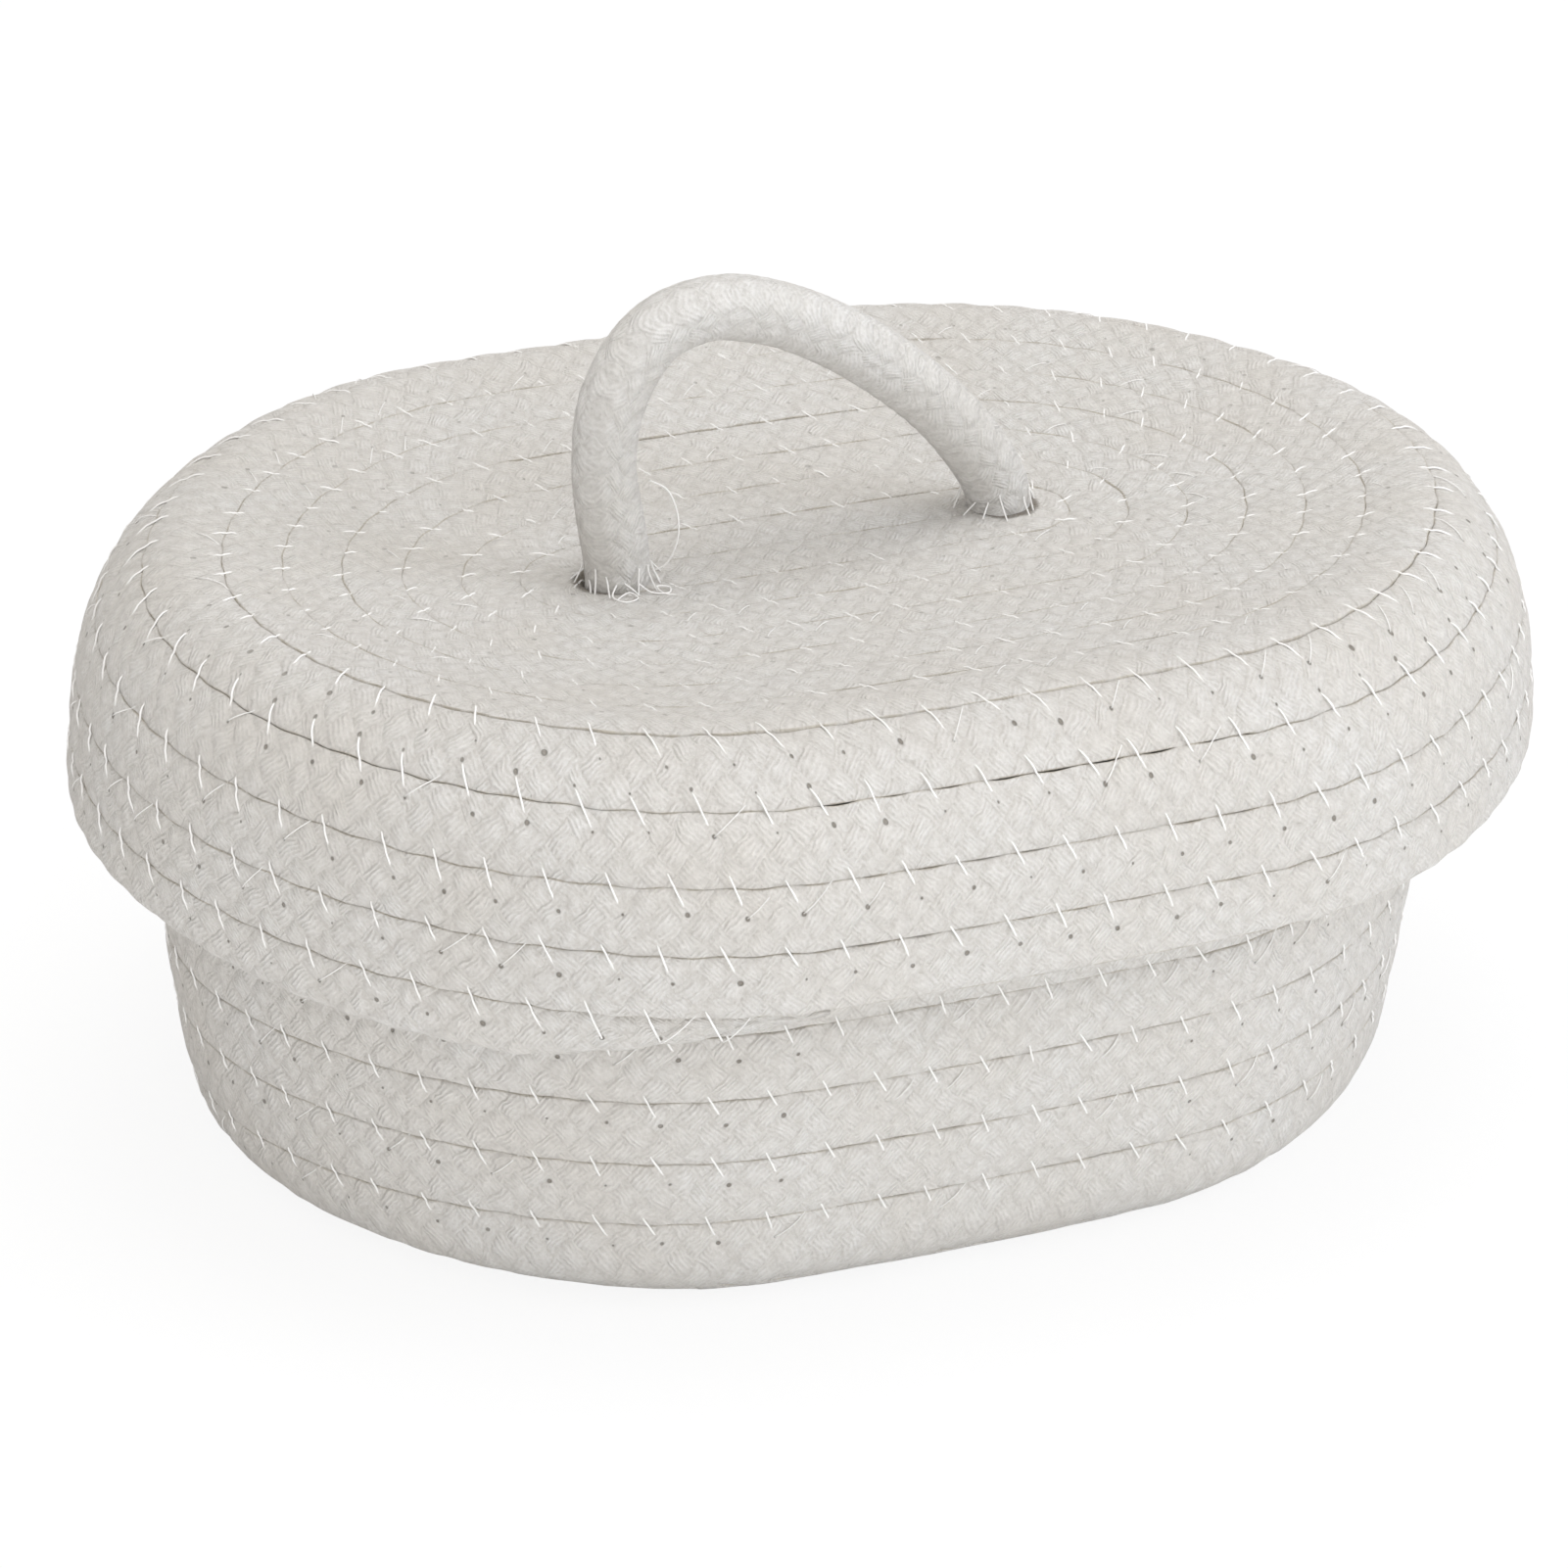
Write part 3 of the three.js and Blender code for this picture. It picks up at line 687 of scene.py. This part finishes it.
def outside_strands(coil, stitches, seed):
    """A strand for each stitch, and a finer one back up for some."""
    draw = np.random.default_rng(seed)
    up = -coil.side
    tubes = []
    for n in np.flatnonzero(stitches.used):
        top = (stitches.at[n], up * stitches.up[n])
        hole = (stitches.at[n] + stitches.lean[n], -up * stitches.down[n])
        tubes.append(strand_on(coil, top, hole, 1, *OUTSIDE_STRAND, draw))
        if draw.uniform() < RETURN_SHARE:
            back = (stitches.at[n + 1], up * stitches.up[n + 1])
            tubes.append(strand_on(coil, hole, back, 1, *OUTSIDE_RETURN, draw))
    return tubes


def inside_strands(coil, first, last, seed):
    """The zigzag of thread on the inner face, from a first level to a last."""
    draw = np.random.default_rng(seed)
    begin, end = coil.at_level(first), coil.at_level(last)
    tubes = []
    for n in range(int(begin / STITCH_PITCH) + 1, int(end / STITCH_PITCH)):
        at = n * STITCH_PITCH + draw.normal(0, INSIDE_STRAY)
        up, down = INSIDE_REACH + draw.normal(0, INSIDE_STRAY), INSIDE_REACH + draw.normal(0, INSIDE_STRAY)
        below = (at + INSIDE_LEAN, -down)
        tubes.append(strand_on(coil, (at, up), below, -1, *INSIDE_STRAND, draw))
        tubes.append(strand_on(coil, below, (at + STITCH_PITCH, up), -1, *INSIDE_RETURN, draw))
    return tubes


basket_threads = outside_strands(basket, basket_sewing, SEED + 30)
basket_threads += inside_strands(basket, 1.0, basket_laps - 0.35, SEED + 31)
add_piece("basket_stitches", tubes_mesh("basket_stitches", basket_threads), "basket",
          ["basket_thread"], thread)
lid_threads = outside_strands(lid, lid_sewing, SEED + 32)
lid_threads += inside_strands(lid, 1.0, lid_laps - 0.2, SEED + 33)
add_piece("lid_stitches", tubes_mesh("lid_stitches", lid_threads), "lid",
          ["lid_thread"], thread)


# Handle

def catmull(points, count):
    """Centripetal Catmull-Rom curve through points."""
    p = np.array(points, float)
    p = np.vstack([2 * p[0] - p[1], p, 2 * p[-1] - p[-2]])
    out = []
    per = count // (len(p) - 3)
    for i in range(1, len(p) - 2):
        p0, p1, p2, p3 = p[i - 1:i + 3]
        t0 = 0.0
        t1 = np.linalg.norm(p1 - p0) ** 0.5
        t2 = t1 + np.linalg.norm(p2 - p1) ** 0.5
        t3 = t2 + np.linalg.norm(p3 - p2) ** 0.5
        t = np.linspace(t1, t2, per, endpoint=False)[:, None]
        a1 = (t1 - t) / (t1 - t0) * p0 + (t - t0) / (t1 - t0) * p1
        a2 = (t2 - t) / (t2 - t1) * p1 + (t - t1) / (t2 - t1) * p2
        a3 = (t3 - t) / (t3 - t2) * p2 + (t - t2) / (t3 - t2) * p3
        b1 = (t2 - t) / (t2 - t0) * a1 + (t - t0) / (t2 - t0) * a2
        b2 = (t3 - t) / (t3 - t1) * a2 + (t - t1) / (t3 - t1) * a3
        out.append((t2 - t) / (t2 - t1) * b1 + (t - t1) / (t2 - t1) * b2)
    out.append(p[-2][None])
    return np.vstack(out)


def handle_path():
    """Middle line of the handle, from under the lid at its left foot to under it at its right foot."""
    low = -THICKNESS / 2 - HANDLE_TAIL
    left, right = ([foot + [0, 0, z] for z in (low, 0, FOOT_STRAIGHT)] for foot in (LEFT_FOOT, RIGHT_FOOT))
    arch = []
    for x, z in HANDLE_ARCH:
        share = (x * MM + LID_SPINE / 2) / LID_SPINE
        y = LEFT_FOOT[1] * (1 - share) + RIGHT_FOOT[1] * share
        arch.append([x * MM + LID_SHIFT - ARCH_LEAN * max(share, 0) ** 2, y, z * MM + lid.lift])
    return catmull([*left, *arch, *right[::-1]], 520)


def even(points, step):
    """The same path with points a step apart."""
    s = np.r_[0, np.cumsum(np.linalg.norm(np.diff(points, axis=0), axis=1))]
    at = np.linspace(0, s[-1], int(s[-1] / step))
    return np.stack([np.interp(at, s, points[:, i]) for i in range(3)], -1), at


def handle_rope():
    """The handle as a braided tube."""
    points, length = even(handle_path(), 0.6 * MM)
    d = np.gradient(points, axis=0)
    d /= np.linalg.norm(d, axis=1)[:, None]
    side = np.cross(d, [0.0, 1.0, 0.0])
    side /= np.linalg.norm(side, axis=1)[:, None]
    front = np.cross(side, d)
    sides = 72
    angle = 2 * np.pi * np.arange(sides) / sides
    s, a = length[:, None], angle[None]
    # two sets of strands that cross, each one over and then under
    turn = a / (2 * np.pi)
    left = BRAID_STRANDS * (turn + s / BRAID_PITCH)
    right = BRAID_STRANDS * (turn - s / BRAID_PITCH)
    weave = np.cos(np.pi * (left + right)) * np.cos(np.pi * (left - right))
    relief = BRAID_RELIEF * np.abs(np.sin(np.pi * np.where(weave > 0, left, right))) ** 0.7
    uneven = 0.25 * MM * smooth_noise(s / 0.017 + 0 * a, SEED + 40)
    radius = HANDLE_RADIUS - 0.35 * MM + relief + uneven
    ring = points[:, None] + radius[..., None] * (
        side[:, None] * np.cos(angle)[None, :, None] + front[:, None] * np.sin(angle)[None, :, None])
    across = 0.8 * np.sin(angle * 2)
    mesh = tube_mesh("handle_rope", ring, length, across)
    add_piece("handle_rope", mesh, "lid", ["lid_handle"], cotton_handle)


cotton_handle = cotton_rope("cotton_rope_handle", srgb(250, 248, 246), srgb(210, 206, 200),
                            srgb(238, 234, 228), srgb(206, 200, 191), holes=False)
handle_rope()


def foot_threads(name, node, foot, count, loops=()):
    """Uneven thread wraps that sew a foot of the handle down, and any loose loops of thread."""
    draw = np.random.default_rng(SEED + len(name))
    tubes = []
    for n in range(count):
        k = np.linspace(0, 1, 10)
        a = 2 * np.pi * (n + draw.uniform(-0.4, 0.4)) / count + draw.uniform(-0.25, 0.45) * k
        r = HANDLE_RADIUS + (0.2 + draw.uniform(1.6, 3.6) * k ** 1.7) * MM
        rise = draw.uniform(1.4, 5.2)
        z = THICKNESS / 2 + (rise * (1 - k) ** 1.3 + 0.15 + 0.3 * np.sin(np.pi * k) - 0.9 * k ** 6) * MM
        points = np.stack([foot[0] + r * np.cos(a), foot[1] + r * np.sin(a), foot[2] + z], -1)
        tubes.append(strand(points, FOOT_THREAD))
    for loop in loops:
        tubes.append(strand(catmull(np.array(loop) * MM + foot, 40), FOOT_THREAD))
    add_piece(name, tubes_mesh(name, tubes), "lid", [node], thread)


# Loose loops of thread at the left foot, in mm from it
LEFT_LOOPS = [
    [(6.2, -2.5, 29), (9.5, -4.0, 27), (11.6, -4.8, 21), (11.4, -4.6, 15), (9.2, -3.6, 10), (6.9, -2.4, 8.5)],
    [(-3, -7.6, 9), (-4.5, -9.5, 7.4), (-2.5, -12, 6.9), (0.5, -11, 7.0), (-0.5, -8.8, 7.4),
     (-3, -9.5, 6.9), (-5.5, -12.5, 6.6)],
    [(2, -7.4, 8.5), (4, -9.5, 7.1), (7.5, -10.5, 6.9), (8.5, -8.0, 7.0), (6, -7.5, 7.3),
     (6.5, -10.5, 6.9), (10, -12, 6.5)]]
foot_threads("foot_stitches_left", "handle_stitch_left", LEFT_FOOT, 15, LEFT_LOOPS)
foot_threads("foot_stitches_right", "handle_stitch_right", RIGHT_FOOT, 11)


# Studio

def seen_directly(tree):
    """1 for what the camera sees itself, in a mirror or through glass, and 0 for light that bounces."""
    rays = add_node(tree, "ShaderNodeLightPath").outputs
    seen = maths(tree, "MAXIMUM", rays["Is Camera Ray"], rays["Is Glossy Ray"])
    return maths(tree, "MAXIMUM", seen, rays["Is Transmission Ray"])


def plain_floor():
    corners = np.array([[-6, -6, 0], [6, -6, 0], [6, 6, 0], [-6, 6, 0]], float)
    mesh = mesh_from("floor", corners, np.array([[0, 1, 2, 3]]))
    floor = bpy.data.objects.new("floor", mesh)
    bpy.context.scene.collection.objects.link(floor)
    material, tree, shader = node_material("floor")
    shader.inputs["Base Color"].default_value = (0.95, 0.95, 0.95, 1)
    shader.inputs["Roughness"].default_value = 0.9
    shader.inputs["Specular IOR Level"].default_value = 0.0
    white = add_node(tree, "ShaderNodeEmission", {"Color": (1, 1, 1, 1), "Strength": 1.0})
    mix = add_node(tree, "ShaderNodeMixShader")
    tree.links.new(maths(tree, "MULTIPLY", seen_directly(tree), 0.88), mix.inputs[0])
    tree.links.new(shader.outputs[0], mix.inputs[1])
    tree.links.new(white.outputs[0], mix.inputs[2])
    tree.links.new(mix.outputs[0], tree.nodes["Material Output"].inputs["Surface"])
    mesh.materials.append(material)


def world():
    world = bpy.data.worlds.new("studio")
    bpy.context.scene.world = world
    world.use_nodes = True
    tree = world.node_tree
    background = tree.nodes["Background"]
    seen = seen_directly(tree)
    strength = maths(tree, "MULTIPLY_ADD", seen, 0.28, 0.72)
    tree.links.new(mixed(tree, seen, (1.0, 0.985, 0.965, 1), (1, 1, 1, 1)), background.inputs["Color"])
    tree.links.new(strength, background.inputs["Strength"])


def area_light(name, place, target, size, power, colour=(1, 1, 1)):
    """A round lamp of a diameter in metres and a power in watts, turned to a target."""
    data = bpy.data.lights.new(name, "AREA")
    data.shape = "DISK"
    data.size = size
    data.energy = power
    data.color = colour
    lamp = bpy.data.objects.new(name, data)
    lamp.location = place
    lamp.rotation_euler = (Vector(target) - Vector(place)).to_track_quat("-Z", "Y").to_euler()
    bpy.context.scene.collection.objects.link(lamp)


def camera(aim, azimuth, elevation, roll, distance, right_shift, up_shift, focal_pixels, image=1601):
    """A camera round a point that it aims at, then shifted, with its focal length in pixels of the image."""
    a, e, r = (math.radians(x) for x in (azimuth, elevation, roll))
    back = np.array([math.sin(a) * math.cos(e), -math.cos(a) * math.cos(e), math.sin(e)])
    level = np.array([math.cos(a), math.sin(a), 0.0])
    upright = np.cross(back, level)
    right = level * math.cos(r) + upright * math.sin(r)
    up = -level * math.sin(r) + upright * math.cos(r)
    centre = np.array(aim) + back * distance + right * right_shift + up * up_shift
    data = bpy.data.cameras.new("camera")
    data.sensor_width = 36
    data.lens = 36 * focal_pixels / image
    data.clip_start = 0.01
    data.clip_end = 100
    cam = bpy.data.objects.new("camera", data)
    m = Matrix.Identity(4)
    for i in range(3):
        m[i][0], m[i][1], m[i][2], m[i][3] = right[i], up[i], back[i], centre[i]
    cam.matrix_world = m
    bpy.context.scene.collection.objects.link(cam)
    bpy.context.scene.camera = cam


plain_floor()
world()
area_light("key", (1.3, -0.9, 0.95), (0, 0, 0.06), 1.0, 9.2, (0.92, 0.98, 1.08))
area_light("front", (-0.35, -1.5, 0.16), (0, 0, 0.05), 0.9, 10.9, (0.97, 1.0, 1.03))
area_light("top", (0.1, 0.1, 1.6), (0, 0, 0.1), 1.2, 12)
camera((0.67 * MM, 0, 116.5 * MM), -22.552, 26.10, 0.807, 1.2389, -6.006 * MM, -47.88 * MM, 6000)
bpy.context.scene.view_settings.view_transform = "Standard"
